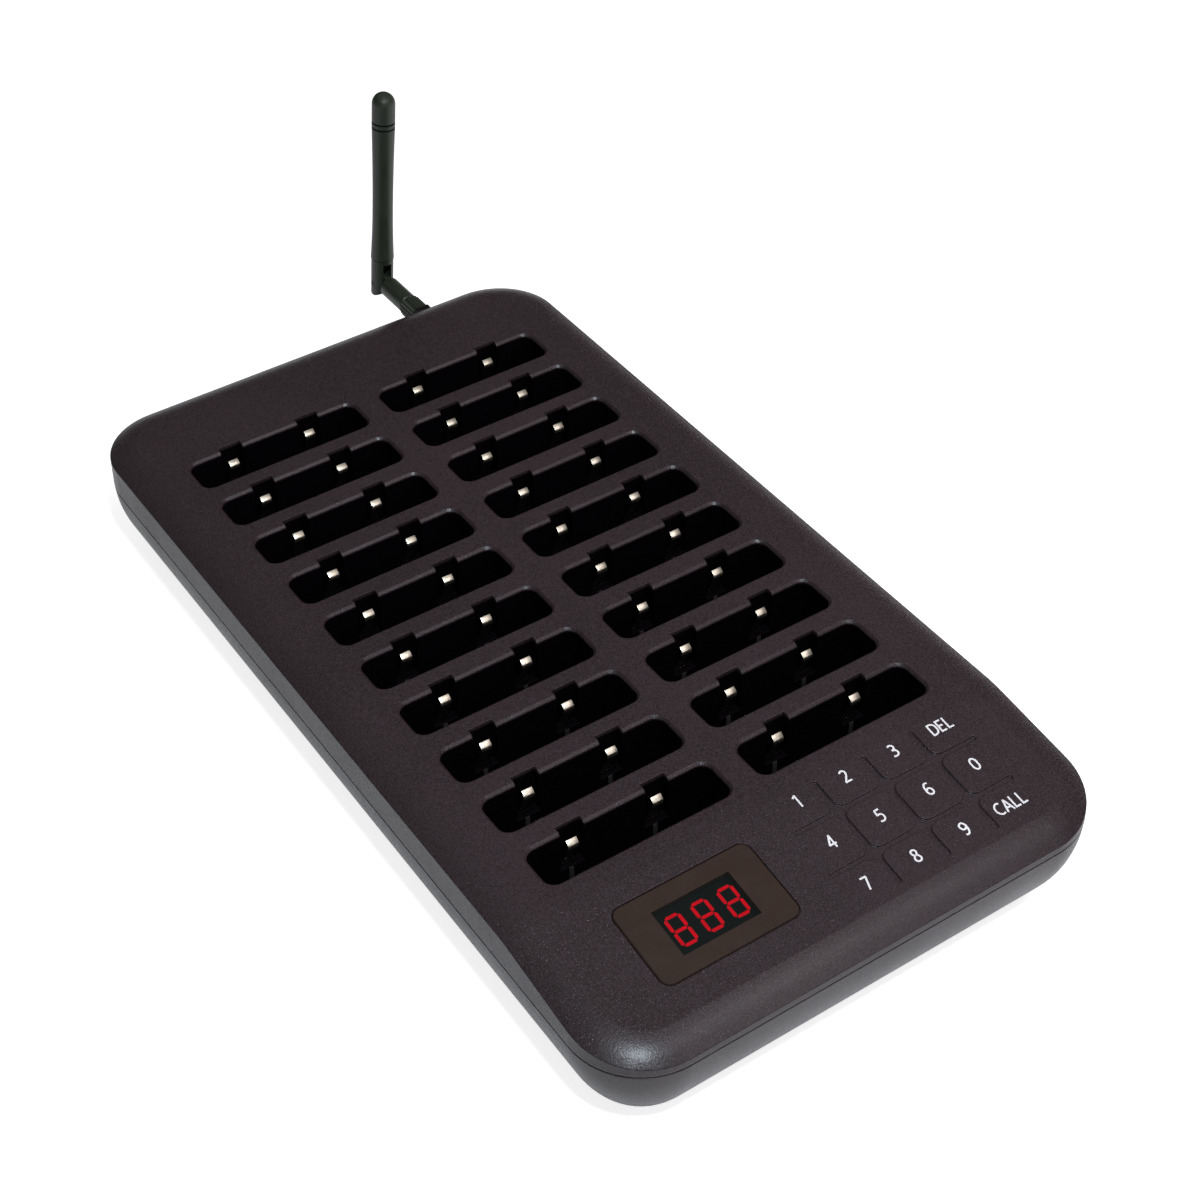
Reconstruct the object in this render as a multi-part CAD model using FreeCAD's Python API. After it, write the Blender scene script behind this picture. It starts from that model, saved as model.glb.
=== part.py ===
import FreeCAD, Part
import math
import os

# Charging and calling base for guest pagers, in millimetres.
# +X is to the right, +Y to the back and +Z up. The origin lies on the table, under the middle of the case.

# Case
case_width = 150.5
case_length = 278.5
corner_radius = 20.0
deck_height = 37.0  # flat deck above the table
parting_drop = 11.6  # deck down to the line where the two shells meet
foot_height = 2.0
cover_wall = 2.4
case_wall = 2.2
side_bow_reach = 9.15  # how far the bowed side of the lower shell comes in at the floor
base_edge_radius = 4.0
draft_angle = 1.9
edge_drop = 3.0  # soft edge round the deck
edge_reach = 8.4
edge_start_angle = 7.0
slope_angle = 8.0  # front zone with display and keypad
slope_margin = 5.4  # front of the last pocket to the start of the slope
slope_blend = 2.0  # half the length over which the deck bends into the slope
reveal_height = 0.45  # shadow line between the shells
reveal_depth = 0.8
tongue_thickness = 0.9
tongue_height = 1.3
fit_gap = 0.15
overrun = 6.0  # how far a cutting body runs past what it cuts

# Pockets for the pagers
slot_rows = 10
slot_land = 7.36  # deck left between two pockets
column_gap = 8.4
side_margin = 17.05  # side wall to the pockets' ends
back_margin = 32.9  # back wall to the first pocket
front_margin = 52.96  # last pocket to the front wall
slot_floor_gap = 2.5  # pockets' outer floors above the contact boards
slot_wall = 1.5
slot_corner_radius = 3.2
lip_bevel = 0.7

# Contact springs
contact_spacing = 25.0
notch_width = 7.0
notch_depth = 2.4
notch_drop = 13.6
spring_width = 3.8
spring_thickness = 0.4
spring_setback = 2.0  # foot of the spring behind the pocket wall
spring_reach = 1.2  # knee in front of the pocket wall
knee_drop = 6.3
tip_drop = 4.8
tip_setback = 0.2
leg_gap = 0.5  # fixed leg to the moving leaf's axis
slit_gap = 0.3

# Display window and display
window_margin = 24.05  # side wall to the window
window_run = 20.0  # centre, measured down the slope
window_width = 40.0
window_height = 24.3
window_radius = 3.0
window_thickness = 1.1
window_proud = 0.2
window_edge = 0.3
window_gap = 0.25
led_width = 22.4
led_height = 13.8
led_body = 7.2
led_gap = 0.3
led_hole_gap = 0.8

# Keypad
key_columns = 4
key_rows = 3
keypad_gap = 11.35  # window to the keypad
keypad_margin = 17.9  # keypad to the side wall
key_run = 20.1  # middle row, measured down the slope
key_pitch_run = 14.25
key_end_inset = 1.86  # the cross grooves end this far inside the outer keys' ends
groove_width = 1.35
groove_depth = 0.5
groove_flare = 2.6
groove_run_length = 34.5
pad_width = 6.0

# Boards
board_thickness = 1.6
board_corner = 3.0
board_gap = 0.5
control_board_margin = 15.25  # side wall to the board
control_board_height = 38.0
control_board_run = 23.5
contact_board_inset = 1.5  # pockets' ends to the boards' long edges
contact_board_lift = 2.2
contact_board_margin = 3.0
rear_board_margin = 29.25  # side wall to the board
rear_board_depth = 21.0
rear_board_back_gap = 7.25
rear_board_lift = 6.7
post_radius = 2.8
standoff_radius = 3.0
rib_width = 1.5
board_screw_radius = 1.1
board_screw_length = 5.0
board_head_radius = 2.1
board_head_height = 1.2
board_screw_inset = 4.5

# Case screws and feet
screw_side_inset = 15.25
screw_end_inset = 18.25
spine_screw_rows = 3  # the spine screws stand this many rows from the columns' ends
screw_radius = 1.5
screw_head_radius = 2.8
screw_head_height = 2.2
screw_length = 14.0
boss_radius = 4.4
cover_post_radius = 3.4
boss_seat = 4.5  # head seat above the outer floor
meet_drop = 0.5  # the lower bosses and the cover's posts meet this far under the pockets
foot_side_inset = 25.25
foot_end_inset = 33.25
foot_radius = 6.0
foot_recess = 0.8
foot_edge = 0.6

# Power inlet, radio and buzzer on the rear board
jack_inset = 8.0  # board's end to the inlet
jack_width = 9.0
jack_height = 11.0
jack_length = 14.0
jack_face_inset = 2.6
jack_bore_radius = 3.2
jack_bore_depth = 9.0
jack_pin_radius = 1.0
jack_gap = 0.3
can_place_share = 0.24  # of the board's width, from its middle
can_width_share = 0.26
can_depth = 16.0
can_height = 3.2
buzzer_place_share = -0.087
buzzer_radius = 6.0
buzzer_height = 7.5
buzzer_hole_radius = 1.2

# Antenna
antenna_side_inset = 34.35
antenna_drop = 7.4  # deck down to the connector's axis
antenna_lean = 5.7
socket_radius = 3.1
socket_length = 9.2
socket_flange = 7.0
socket_flange_thickness = 3.0
socket_tail_radius = 1.6
socket_tail_length = 4.0
washer_radius = 4.1
washer_thickness = 0.5
socket_nut_width = 8.0
socket_nut_height = 2.0
antenna_nut_radius = 3.75
antenna_nut_length = 7.6
antenna_nut_gap = 0.4
knurl_count = 20
knurl_depth = 0.3
barrel_radius = 3.3
neck_radius = 3.08
neck_length = 1.4
running_gap = 0.08
hinge_reach = 28.2  # back wall to the fold hinge
hinge_face_gap = 4.6
tongue_width = 2.3
tongue_radius = 2.8
fork_slot_width = 2.9
fork_radius = 3.6
fork_ear_radius = 4.3
fork_slot_top = 7.4
fork_height = 8.7
spigot_radius = 2.2
spigot_length = 5.0
pin_radius = 0.8
pin_gap = 0.04
sleeve_foot_radius = 3.75
sleeve_waist_radius = 3.28
sleeve_waist_height = 27.0
sleeve_top_radius = 3.68
sleeve_top_height = 56.6
ring_groove_depth = 0.25
ring_groove_width = 0.45
ring_band = 1.3
antenna_length = 66.5

# Places worked out from the sizes above
vec = FreeCAD.Vector
origin = vec(0, 0, 0)
x_axis = vec(1, 0, 0)
y_axis = vec(0, 1, 0)
z_axis = vec(0, 0, 1)
parting_z = deck_height - parting_drop
floor_z = foot_height + case_wall
side_face = case_width / 2
rear_face = case_length / 2
axis_x = side_face - corner_radius
axis_y = rear_face - corner_radius
side_bow_radius = ((parting_z - foot_height) ** 2 + side_bow_reach ** 2) / (side_bow_reach * 2)
slot_width = (case_width - column_gap) / 2 - side_margin
slot_pitch = (case_length - back_margin - front_margin + slot_land) / slot_rows
slot_opening = slot_pitch - slot_land
first_slot_y = rear_face - back_margin
slot_backs = [first_slot_y - slot_pitch * row for row in range(slot_rows)]
slot_centres = [-(column_gap + slot_width) / 2, (column_gap + slot_width) / 2]
last_slot_front = slot_backs[-1] - slot_opening
slope_start = last_slot_front - slope_margin
slope_place = FreeCAD.Placement(vec(0, slope_start, deck_height), FreeCAD.Rotation(x_axis, slope_angle))
contact_board_width = slot_width - contact_board_inset * 2
contact_board_inner = column_gap / 2 + contact_board_inset
contact_board_top = floor_z + contact_board_lift + board_thickness
slot_depth = deck_height - slot_wall - slot_floor_gap - contact_board_top
window_x = window_margin + window_width / 2 - side_face
groove_cross_length = case_width - window_margin - window_width - keypad_gap - keypad_margin
key_x = side_face - keypad_margin - groove_cross_length / 2
key_pitch_x = (groove_cross_length + key_end_inset * 2) / key_columns
control_board_width = case_width - control_board_margin * 2
rear_board_width = case_width - rear_board_margin * 2
rear_board_y = rear_face - rear_board_back_gap - rear_board_depth / 2
rear_board_top = floor_z + rear_board_lift + board_thickness
jack_x = jack_inset - rear_board_width / 2
can_x = rear_board_width * can_place_share
can_width = rear_board_width * can_width_share
buzzer_x = rear_board_width * buzzer_place_share
screw_x = side_face - screw_side_inset
screw_y = rear_face - screw_end_inset
foot_x = side_face - foot_side_inset
foot_y = rear_face - foot_end_inset
antenna_x = side_face - antenna_side_inset
control_board_top = -(window_thickness - window_proud) - led_gap - led_body
leaf_foot_z = deck_height - notch_drop + leg_gap
meet_z = contact_board_top + slot_floor_gap - meet_drop
antenna_z = deck_height - antenna_drop
hinge_y = rear_face + hinge_reach
nut_start = rear_face + washer_thickness + socket_nut_height + antenna_nut_gap
nut_end = nut_start + antenna_nut_length


def slab(x0, x1, y0, y1, z0, z1):
    """A box between two corners."""
    return Part.makeBox(x1 - x0, y1 - y0, z1 - z0, vec(x0, y0, z0))


def upright_edges(shape):
    return [e for e in shape.Edges if abs(e.tangentAt(e.FirstParameter).z) > math.cos(math.radians(1))]


def rounded_slab(x0, x1, y0, y1, z0, z1, radius):
    box = slab(x0, x1, y0, y1, z0, z1)
    return box.makeFillet(radius, upright_edges(box))


def disc(x, y, z0, z1, radius):
    return Part.makeCylinder(radius, z1 - z0, vec(x, y, z0), z_axis)


def rod(start, axis, length, radius):
    return Part.makeCylinder(radius, length, start, axis)


def outline(start, *steps):
    """A face in the XZ plane. A step is a point, or a pair of points for an arc's middle and end."""
    edges = []
    here = vec(start[0], 0, start[1])
    for step in steps:
        if isinstance(step[0], tuple):
            middle, end = [vec(p[0], 0, p[1]) for p in step]
            edges.append(Part.Arc(here, middle, end).toShape())
        else:
            end = vec(step[0], 0, step[1])
            edges.append(Part.makeLine(here, end))
        here = end
    return Part.Face(Part.Wire(edges))


def ring(face, half_x, half_y):
    """Carry a section round a rounded rectangle: its X is the distance out from each corner's axis."""
    corners = [vec(half_x, -half_y, 0), vec(half_x, half_y, 0), vec(-half_x, half_y, 0), vec(-half_x, -half_y, 0)]
    pieces = []
    for quarter in range(4):
        start, end = corners[quarter], corners[(quarter + 1) % 4]
        turned = face.copy()
        turned.rotate(origin, z_axis, 90 * quarter)
        side = turned.copy()
        side.translate(start)
        pieces.append(side.extrude(end - start))
        bend = turned.copy()
        bend.translate(end)
        pieces.append(bend.revolve(end, z_axis, 90))
    return pieces


def moved(shape, x=0, y=0, z=0):
    copy = shape.copy()
    copy.translate(vec(x, y, z))
    return copy


def placed(shape, placement):
    copy = shape.copy()
    copy.Placement = placement.multiply(copy.Placement)
    return copy


def on_slope(shape):
    """From the slope's own frame, with -Y down the slope and Z off its face, to the part's frame."""
    return placed(shape, slope_place)


def arc_middle(start, end, rise):
    """Middle of an arc that stands off its chord by a share of the chord."""
    dx, dz = end[0] - start[0], end[1] - start[1]
    return ((start[0] + end[0]) / 2 - dz * rise, (start[1] + end[1]) / 2 + dx * rise)


# Upper shell

def soft_edge(radius, top):
    """Section of what the soft edge takes off the deck's rim."""
    fall_angle = math.atan2(edge_drop, edge_reach)
    rise_share = math.tan((fall_angle - math.radians(edge_start_angle)) / 2) / 2
    inner, outer = (radius - edge_reach, top), (radius, top - edge_drop)
    return outline(inner, (arc_middle(inner, outer, rise_share), outer), (radius + overrun, top - edge_drop),
                   (radius + overrun, top + overrun), (radius - edge_reach, top + overrun), inner)


def drafted_side(radius, top):
    lean = math.tan(math.radians(draft_angle)) * (top + overrun - parting_z)
    return outline((radius, parting_z), (radius - lean, top + overrun), (radius + overrun, top + overrun),
                   (radius + overrun, parting_z), (radius, parting_z))


def cover_block(inset, bottom):
    """The upper shell's outer form, or the space inside it when an inset is given."""
    radius = corner_radius - inset
    top = deck_height - inset
    tilt = math.radians(slope_angle)
    half_share = 1 / 2
    pivot_y = slope_start - inset * math.tan(tilt / 2)
    bend_y = slope_start + slope_blend - inset * math.tan(tilt / 4)
    frame = FreeCAD.Placement(vec(0, pivot_y, top), FreeCAD.Rotation(x_axis, slope_angle))
    bend = FreeCAD.Placement(vec(0, bend_y, top), FreeCAD.Rotation(x_axis, slope_angle * half_share))
    block = rounded_slab(-axis_x - radius, axis_x + radius, -axis_y - radius, axis_y + radius, bottom, top, radius)
    above = slab(-case_width, case_width, -case_length, case_length, 0, case_length)
    front_run = (pivot_y + axis_y + radius) / math.cos(tilt) + edge_drop * math.tan(tilt)
    edges = ring(soft_edge(radius, 0), axis_x, axis_y)
    sides = [piece for piece in edges if piece.BoundBox.YLength > axis_y]
    cutters = ring(drafted_side(radius, top), axis_x, axis_y) + [moved(piece, z=top) for piece in edges]
    cutters += [placed(above, bend), placed(above, frame)]
    cutters += [placed(piece, bend) for piece in sides]
    cutters += [placed(moved(piece, y=axis_y + radius - front_run), frame) for piece in edges]
    return block.cut(cutters)


def pocket_outside(x, y):
    """Walls of one pocket, with the housings of its two spring channels."""
    top = deck_height - cover_wall / 2
    floor = deck_height - slot_depth - slot_wall
    half = slot_width / 2 + slot_wall
    walls = [slab(x - half, x + half, y - slot_opening - slot_wall, y + slot_wall, floor, top)]
    channel_floor = deck_height - notch_drop - slot_wall
    reach = notch_width / 2 + slot_wall
    for side in (-1, 1):
        centre = x + side * contact_spacing / 2
        walls.append(slab(centre - reach, centre + reach, y, y + notch_depth + slot_wall, channel_floor, top))
    return walls


def pocket_space():
    """The hollow of one pocket, about the middle of its back edge at deck level."""
    radius = slot_corner_radius
    hollow = rounded_slab(-slot_width / 2, slot_width / 2, -slot_opening, 0, -slot_depth, overrun, radius)
    flare = outline((radius, -lip_bevel), (radius + lip_bevel, 0), (radius + lip_bevel, overrun),
                    (radius, overrun), (radius, -lip_bevel))
    lips = ring(flare, slot_width / 2 - radius, slot_opening / 2 - radius)
    hollow = hollow.fuse([moved(piece, y=-slot_opening / 2) for piece in lips])
    for side in (-1, 1):
        x = side * contact_spacing / 2
        channel = slab(x - notch_width / 2, x + notch_width / 2, -slot_wall, notch_depth, -notch_drop, overrun)
        half_slit = spring_width / 2 + slit_gap
        slit = slab(x - half_slit, x + half_slit, spring_setback - spring_thickness / 2 - slit_gap,
                    notch_depth, -notch_drop - overrun, overrun)
        hollow = hollow.fuse([channel, slit])
    return hollow.removeSplitter()


def keypad_grooves():
    """Crossed grooves in the slope's frame, widened where they cross."""
    length = groove_run_length / 2
    upright = slab(-groove_width / 2, groove_width / 2, -length, length, -groove_depth, overrun)
    across = slab(-groove_cross_length / 2, groove_cross_length / 2, -groove_width / 2, groove_width / 2,
                  -groove_depth, overrun)
    bars = [moved(upright, x=key_pitch_x * step) for step in (-1, 0, 1)]
    bars += [moved(across, y=key_pitch_run * step / 2) for step in (-1, 1)]
    grooves = bars[0].fuse(bars[1:]).removeSplitter()
    corners = [e for e in upright_edges(grooves)
               if abs(e.CenterOfMass.x) < groove_cross_length / 2 - groove_width and
               abs(e.CenterOfMass.y) < groove_run_length / 2 - groove_width]
    grooves = grooves.makeFillet(groove_flare, corners)
    ends = [e for e in upright_edges(grooves)
            if abs(e.CenterOfMass.x) > groove_cross_length / 2 - fit_gap or
            abs(e.CenterOfMass.y) > groove_run_length / 2 - fit_gap]
    end_radius_share = 0.46
    grooves = grooves.makeFillet(groove_width * end_radius_share, ends)
    return on_slope(moved(grooves, x=key_x, y=-key_run))


def window_recess():
    half_x, half_y = window_width / 2, window_height / 2
    depth = window_thickness - window_proud
    seat = rounded_slab(window_x - half_x, window_x + half_x, -window_run - half_y, -window_run + half_y,
                        -depth, overrun, window_radius)
    half_x, half_y = led_width / 2 + led_hole_gap, led_height / 2 + led_hole_gap
    hole = slab(window_x - half_x, window_x + half_x, -window_run - half_y, -window_run + half_y,
                -overrun, overrun)
    return on_slope(seat.fuse(hole))


def case_screw_places():
    """Corner screws, then the two in the spine between the columns."""
    places = [(sx * screw_x, sy * screw_y) for sx in (-1, 1) for sy in (-1, 1)]
    for row in (spine_screw_rows, slot_rows - spine_screw_rows):
        places.append((0, slot_backs[row] + (slot_pitch - slot_opening) / 2))
    return places


def control_screw_places():
    """Posts between the rows of keys, near the board's ends."""
    half_x = control_board_width / 2 - board_screw_inset
    return [(sx * half_x, -key_run + sy * key_pitch_run / 2) for sx in (-1, 1) for sy in (-1, 1)]


def antenna_hole():
    return rod(vec(antenna_x, rear_face - overrun, antenna_z), y_axis, overrun * 2, socket_radius + fit_gap)


def jack_opening():
    half = jack_width / 2 + jack_gap
    return slab(jack_x - half, jack_x + half, rear_face - corner_radius / 2, rear_face + overrun,
                rear_board_top - jack_gap, rear_board_top + jack_height + jack_gap)


def make_top_cover():
    shell = cover_block(0, parting_z).cut(cover_block(cover_wall, parting_z - overrun))
    added = []
    for x in slot_centres:
        for y in slot_backs:
            added += pocket_outside(x, y)
    for x, y in case_screw_places():
        fall = max(0, slope_start - y) * math.tan(math.radians(slope_angle))
        added.append(disc(x, y, meet_z, deck_height - cover_wall / 2 - fall, cover_post_radius))
    for x, y in control_screw_places():
        added.append(on_slope(disc(x, y, control_board_top, -cover_wall / 2, post_radius)))
    spare = cover_block(0, parting_z - parting_drop * 2)
    added = [piece if piece.BoundBox.YMin > slope_start else piece.common(spare) for piece in added]
    shell = shell.fuse(added)
    space = pocket_space()
    cutters = [moved(space, x, y, deck_height) for x in slot_centres for y in slot_backs]
    cutters += [keypad_grooves(), window_recess()]
    for x, y in case_screw_places():
        cutters.append(disc(x, y, meet_z - fit_gap, boss_seat + foot_height + screw_length,
                            screw_radius + fit_gap / 2))
    for x, y in control_screw_places():
        cutters.append(on_slope(disc(x, y, control_board_top - fit_gap,
                                     control_board_top + board_screw_length - board_thickness,
                                     board_screw_radius + fit_gap / 2)))
    inner = corner_radius - cover_wall
    rebate = outline((inner - overrun, parting_z - fit_gap),
                     (corner_radius - case_wall + tongue_thickness + fit_gap, parting_z - fit_gap),
                     (corner_radius - case_wall + tongue_thickness + fit_gap, parting_z + tongue_height + fit_gap),
                     (inner - overrun, parting_z + tongue_height + fit_gap),
                     (inner - overrun, parting_z - fit_gap))
    cutters += ring(rebate, axis_x, axis_y)
    cutters += [antenna_hole(), jack_opening()]
    half = socket_flange / 2 + fit_gap * 2
    seat = rear_face - cover_wall
    cutters.append(slab(antenna_x - half, antenna_x + half, seat - socket_flange_thickness - fit_gap * 4, seat,
                        parting_z - overrun, antenna_z + half))
    return shell.cut(cutters)


# Lower shell

def bowed(radius, drop):
    """A point of the bowed side, this far under the parting line."""
    turn = math.asin(drop / radius)
    return (corner_radius - side_bow_radius + radius * math.cos(turn), parting_z - drop)


def case_section():
    """Wall and floor edge of the lower shell."""
    depth = parting_z - foot_height
    end_turn = math.asin(depth / side_bow_radius)
    edge_turn = math.pi / 2 - end_turn
    edge_length = base_edge_radius * math.tan(edge_turn / 2)
    edge_drop_start = side_bow_radius * math.sin(end_turn - edge_length / side_bow_radius)
    corner = bowed(side_bow_radius, depth)
    edge_start = bowed(side_bow_radius, edge_drop_start)
    edge_end = (corner[0] - edge_length, foot_height)
    core = corner_radius - side_bow_radius * (1 - math.cos(end_turn)) - boss_radius * 1.5
    inner_radius = side_bow_radius - case_wall
    inner_depth = parting_z - floor_z
    return core, outline(
        (corner_radius, parting_z),
        (bowed(side_bow_radius, edge_drop_start / 2), edge_start),
        (arc_middle(edge_start, edge_end, math.tan(edge_turn / 4) / 2 * -1), edge_end),
        (core, foot_height), (core, floor_z), bowed(inner_radius, inner_depth),
        (bowed(inner_radius, inner_depth / 2), (corner_radius - case_wall, parting_z)),
        (corner_radius, parting_z))


def contact_standoffs():
    """Where the two long boards are screwed down: on their middle lines, near both ends."""
    centre = contact_board_inner + contact_board_width / 2
    back = slot_backs[0] - board_screw_inset
    front = last_slot_front + board_screw_inset
    return [(side * centre, y) for side in (-1, 1) for y in (front, back)]


def contact_ribs():
    """Long ribs of the floor that carry the edges of the two long boards."""
    ribs = []
    for side in (-1, 1):
        for edge in (board_screw_inset, contact_board_width - board_screw_inset):
            x = side * (contact_board_inner + edge)
            ribs.append(slab(x - rib_width / 2, x + rib_width / 2, last_slot_front, slot_backs[0],
                             floor_z - case_wall / 2, floor_z + contact_board_lift))
    return ribs


def rear_standoffs():
    """At the board's front corners, clear of the inlet."""
    half_x = rear_board_width / 2 - board_screw_inset
    return [(sx * half_x, rear_board_y - rear_board_depth / 2 + board_screw_inset) for sx in (-1, 1)]


def make_bottom_case():
    core, section = case_section()
    solid = ring(section, axis_x, axis_y)
    floor = rounded_slab(-axis_x - core, axis_x + core, -axis_y - core, axis_y + core, foot_height, floor_z, core)
    inner = corner_radius - case_wall
    tongue = outline((inner, parting_z - reveal_height), (inner + tongue_thickness, parting_z - reveal_height),
                     (inner + tongue_thickness, parting_z + tongue_height), (inner, parting_z + tongue_height),
                     (inner, parting_z - reveal_height))
    added = [floor] + ring(tongue, axis_x, axis_y) + contact_ribs()
    for x, y in case_screw_places():
        added.append(disc(x, y, foot_height, meet_z, boss_radius))
    for x, y in contact_standoffs():
        added.append(disc(x, y, floor_z - case_wall / 2, floor_z + contact_board_lift, standoff_radius))
    for x, y in rear_standoffs():
        added.append(disc(x, y, floor_z - case_wall / 2, floor_z + rear_board_lift, standoff_radius))
    case = solid[0].fuse(solid[1:] + added)
    cutters = ring(outline((corner_radius - reveal_depth, parting_z - reveal_height),
                           (corner_radius + overrun, parting_z - reveal_height),
                           (corner_radius + overrun, parting_z + tongue_height),
                           (corner_radius - reveal_depth, parting_z + tongue_height),
                           (corner_radius - reveal_depth, parting_z - reveal_height)), axis_x, axis_y)
    seat = foot_height + boss_seat
    for x, y in case_screw_places():
        cutters.append(disc(x, y, 0, seat, screw_head_radius + fit_gap * 2))
        cutters.append(disc(x, y, 0, meet_z + overrun, screw_radius + fit_gap))
    for x, y in contact_standoffs() + rear_standoffs():
        cutters.append(disc(x, y, floor_z, deck_height, board_screw_radius + fit_gap / 2))
    for x, y in foot_places():
        cutters.append(disc(x, y, 0, foot_height + foot_recess, foot_radius + fit_gap))
    cutters += [antenna_hole(), jack_opening()]
    return case.cut(cutters).removeSplitter()


def foot_places():
    return [(sx * foot_x, sy * foot_y) for sx in (-1, 1) for sy in (-1, 1)]


def make_feet():
    feet = []
    for x, y in foot_places():
        foot = disc(x, y, 0, foot_height + foot_recess, foot_radius)
        rim = [e for e in foot.Edges if abs(e.CenterOfMass.z) < fit_gap and e.Closed]
        feet.append(foot.makeChamfer(foot_edge, rim))
    return Part.makeCompound(feet)


def screw(x, y, seat, length, radius, head_radius, head_height):
    """A screw driven upwards: its head lies under the seat."""
    shank = disc(x, y, seat - head_height / 2, seat + length, radius)
    head = disc(x, y, seat - head_height, seat, head_radius)
    return head.fuse(shank).removeSplitter()


def make_case_screws():
    seat = foot_height + boss_seat
    reach = screw_length - fit_gap
    return Part.makeCompound([screw(x, y, seat, reach, screw_radius, screw_head_radius, screw_head_height)
                              for x, y in case_screw_places()])


# Contact springs

def strip(points, width):
    """A bent sheet strip of the springs' thickness, with its middle line through points (y, z)."""
    half = spring_thickness / 2
    left, right = [], []
    for before, (y, z), after in zip(points[:1] + points, points, points[1:] + points[-1:]):
        dy, dz = after[0] - before[0], after[1] - before[1]
        size = math.hypot(dy, dz)
        left.append(vec(-width / 2, y + half * dz / size, z - half * dy / size))
        right.append(vec(-width / 2, y - half * dz / size, z + half * dy / size))
    loop = left + right[::-1]
    face = Part.Face(Part.makePolygon(loop + [loop[0]]))
    return face.extrude(vec(width, 0, 0))


def leaf_line():
    """Middle line of the moving leaf from its foot over the knee to the tip, from the pocket's back edge."""
    knee = (-spring_reach, -knee_drop)
    foot = (spring_setback, -notch_drop + leg_gap)
    tip = (tip_setback, -tip_drop)
    shoulder_share, crown_share = 0.16, 0.3
    below = (knee[0] + (foot[0] - knee[0]) * shoulder_share, knee[1] + (foot[1] - knee[1]) * shoulder_share)
    above = (knee[0] + (tip[0] - knee[0]) * crown_share, knee[1] + (tip[1] - knee[1]) * crown_share)
    half = spring_thickness / 2
    return [foot, below, (knee[0] + half, knee[1]), above, tip]


def make_contact_pair(x, y):
    """Two moving leaves, each with a round foot about the line on which it flexes."""
    leaf = strip(leaf_line(), spring_width)
    foot = vec(-spring_width / 2, spring_setback, leg_gap - notch_drop)
    leaf = leaf.fuse(rod(foot, x_axis, spring_width, spring_thickness / 2)).removeSplitter()
    pair = [moved(leaf, x + side * contact_spacing / 2, y, deck_height) for side in (-1, 1)]
    return Part.makeCompound(pair)


def make_contact_legs(x):
    """Fixed lower legs of one column's springs, standing on the board."""
    legs = []
    top = leaf_foot_z - leg_gap
    for y in slot_backs:
        for side in (-1, 1):
            centre = x + side * contact_spacing / 2
            middle = y + spring_setback
            legs.append(slab(centre - spring_width / 2, centre + spring_width / 2, middle - spring_thickness / 2,
                             middle + spring_thickness / 2, contact_board_top, top))
    return Part.makeCompound(legs)


# Boards and what they carry

def make_contact_board(side):
    inner = side * contact_board_inner
    outer = side * (contact_board_inner + contact_board_width)
    board = rounded_slab(min(inner, outer), max(inner, outer), last_slot_front - contact_board_margin,
                         slot_backs[0] + contact_board_margin * 3 / 2, floor_z + contact_board_lift, contact_board_top,
                         board_corner)
    holes = [disc(x, y, 0, deck_height, board_screw_radius + fit_gap) for x, y in contact_standoffs()]
    return board.cut(holes)


def make_rear_board():
    board = rounded_slab(-rear_board_width / 2, rear_board_width / 2, rear_board_y - rear_board_depth / 2,
                         rear_board_y + rear_board_depth / 2, floor_z + rear_board_lift, rear_board_top,
                         board_corner)
    return board.cut([disc(x, y, 0, deck_height, board_screw_radius + fit_gap) for x, y in rear_standoffs()])


def make_control_board():
    half_x, half_y = control_board_width / 2, control_board_height / 2
    board = rounded_slab(-half_x, half_x, -control_board_run - half_y, -control_board_run + half_y,
                         control_board_top - board_thickness, control_board_top, board_corner)
    holes = [disc(x, y, control_board_top - overrun, control_board_top + overrun, board_screw_radius + fit_gap)
             for x, y in control_screw_places()]
    notches = [disc(x, y, 0, deck_height, cover_post_radius + board_gap) for x, y in case_screw_places()]
    return on_slope(board.cut(holes)).cut(notches)


def make_touch_pads():
    """Conductive foam blocks that carry the touch fields down to the board."""
    pads = []
    for column in range(key_columns):
        for row in range(key_rows):
            x = key_x + (column - (key_columns - 1) / 2) * key_pitch_x
            y = -key_run + ((key_rows - 1) / 2 - row) * key_pitch_run
            half = pad_width / 2
            pads.append(slab(x - half, x + half, y - half, y + half, control_board_top, -cover_wall))
    return on_slope(Part.makeCompound(pads))


def make_led_display():
    half_x, half_y = led_width / 2, led_height / 2
    top = control_board_top + led_body
    body = slab(window_x - half_x, window_x + half_x, -window_run - half_y, -window_run + half_y,
                control_board_top, top)
    return on_slope(body)


def make_display_window():
    half_x, half_y = window_width / 2 - window_gap, window_height / 2 - window_gap
    pane = rounded_slab(window_x - half_x, window_x + half_x, -window_run - half_y, -window_run + half_y,
                        window_proud - window_thickness, window_proud, window_radius - window_gap)
    top_edges = [e for e in pane.Edges if abs(e.CenterOfMass.z - window_proud) < window_gap]
    return on_slope(pane.makeChamfer(window_edge, top_edges))


def make_board_screws():
    """The boards' screws: on the case's standoffs from above, on the cover's posts from below."""
    group = []
    reach = board_screw_length - board_thickness - fit_gap
    grip = [(x, y, contact_board_top) for x, y in contact_standoffs()]
    grip += [(x, y, rear_board_top) for x, y in rear_standoffs()]
    for x, y, seat in grip:
        shank = disc(x, y, max(floor_z + fit_gap, seat - board_screw_length), seat + board_head_height / 2,
                     board_screw_radius)
        group.append(shank.fuse(disc(x, y, seat, seat + board_head_height, board_head_radius)).removeSplitter())
    seat = control_board_top - board_thickness
    for x, y in control_screw_places():
        group.append(on_slope(screw(x, y, seat, reach + board_thickness, board_screw_radius, board_head_radius,
                                    board_head_height)))
    return Part.makeCompound(group)


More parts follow.
